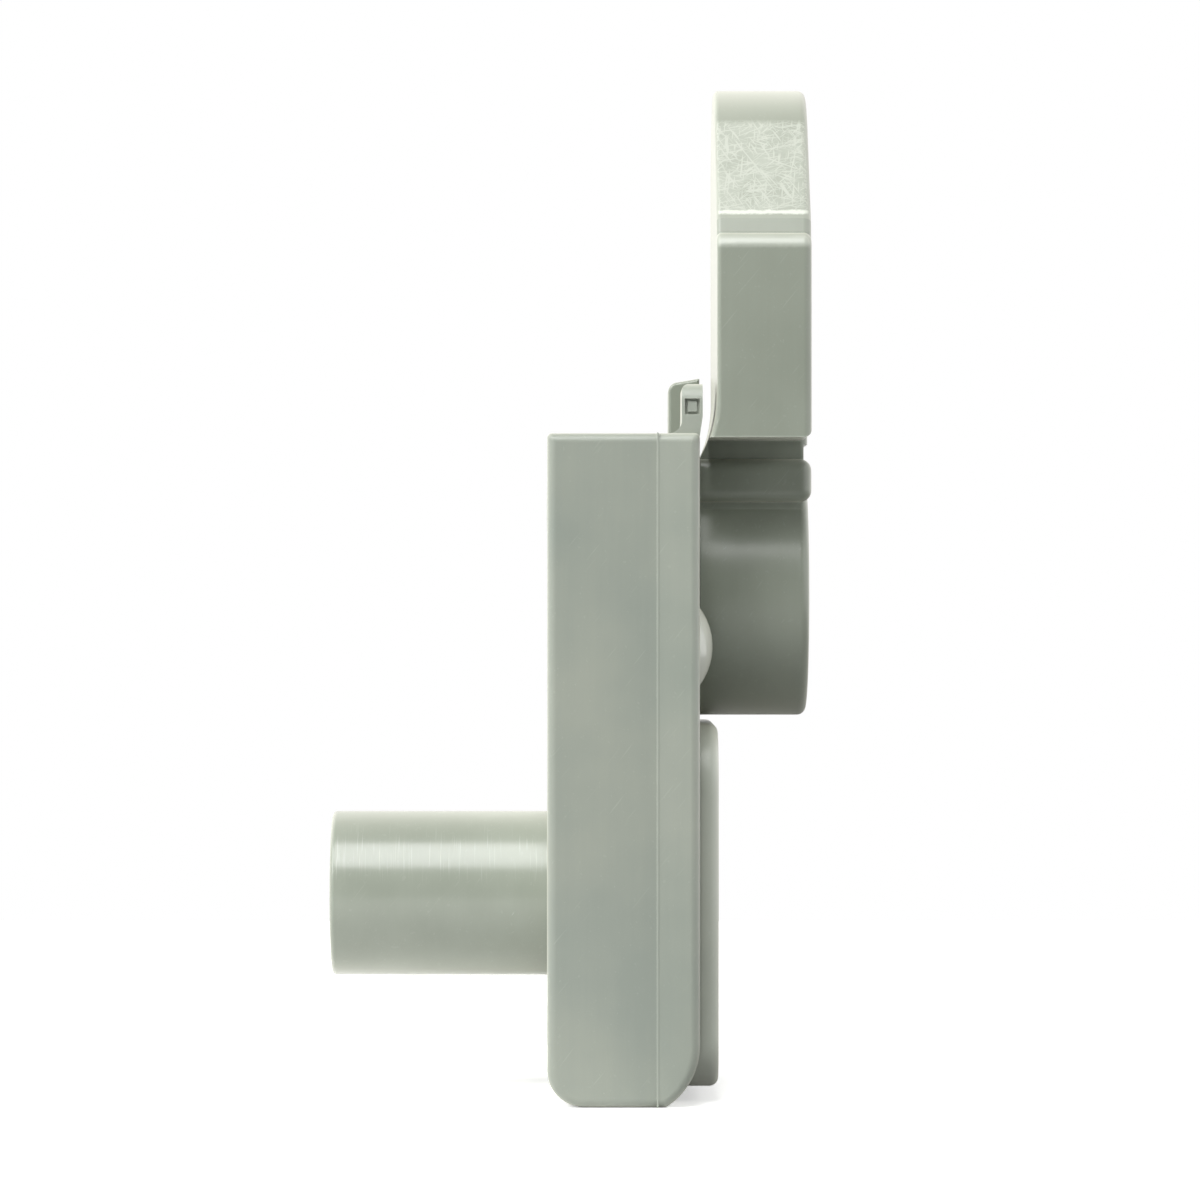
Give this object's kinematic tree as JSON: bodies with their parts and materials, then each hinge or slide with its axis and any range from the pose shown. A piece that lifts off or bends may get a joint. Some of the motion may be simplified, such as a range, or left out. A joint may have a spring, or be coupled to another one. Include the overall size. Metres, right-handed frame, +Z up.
{
  "type": "stair gate latch",
  "caption": "Hook latch for a stair gate: case on a rail spigot, sprung swinging hook, thumb slide with finger fence and press pad.",
  "frame": {"origin": "spigot axis where it leaves the case's back face", "axes": "+X out of the front towards the hook, -X along the spigot, -Y the side that the hook reaches over, +Z up"},
  "size_m": [0.0493, 0.0422, 0.1036],
  "materials": {
    "grey_abs": "moulded ABS, light warm grey, semi-gloss",
    "grey_pom": "moulded acetal, light warm grey, smooth",
    "natural_acetal": "moulded natural acetal",
    "steel": "turned steel, bright",
    "zinc_steel": "zinc plated steel",
    "spring_steel": "drawn spring wire",
    "brass": "turned and knurled brass",
    "black_rubber": "moulded rubber"
  },
  "bodies": {
    "latch_case": {"rear_housing": "grey_abs", "front_cover": "grey_abs", "mounting_spigot": "grey_pom", "spigot_insert": "brass", "spigot_clip": "spring_steel", "shaft_bush": "natural_acetal", "thrust_washer": "natural_acetal", "cover_screws": "zinc_steel", "screw_cap_near": "grey_abs", "screw_cap_far": "grey_abs", "slide_buffer": "black_rubber", "hook_return_spring": "spring_steel", "pad_spring_near": "spring_steel", "pad_spring_far": "spring_steel", "pad_spring_top": "spring_steel"},
    "hook": {"hook_lever": "grey_pom", "pivot_shaft": "steel", "crank_plate": "zinc_steel", "crank_pin": "steel", "crank_roller": "natural_acetal", "shaft_clip": "spring_steel", "hub_screw": "zinc_steel", "hub_cap": "grey_abs"},
    "slide": {"thumb_slide": "grey_pom"},
    "pad": {"press_pad": "grey_abs"}
  },
  "joints": [
    {"name": "hook_swing", "type": "hinge", "parent": "latch_case", "child": "hook", "pos_m": [0.018, 0, 0.031], "axis": [-1, 0, 0], "range_deg": [0, 35], "stiffness_Nm_per_rad": 0.08, "springref_deg": -34.38, "deforming": ["hook_return_spring"]},
    {"name": "thumb_slide_travel", "type": "slide", "parent": "latch_case", "child": "slide", "axis": [0, -1, 0], "range_m": [0, 0.005]},
    {"name": "pad_press", "type": "slide", "parent": "latch_case", "child": "pad", "axis": [-1, 0, 0], "range_m": [0, 0.00185], "deforming": ["pad_spring_near", "pad_spring_far", "pad_spring_top"]}
  ],
  "couplings": [
    {"joint": "thumb_slide_travel", "follows": "hook_swing", "m_per_rad": 0.0081033},
    {"joint": "pad_press", "follows": "hook_swing", "m_per_rad": 0.0029466}
  ]
}
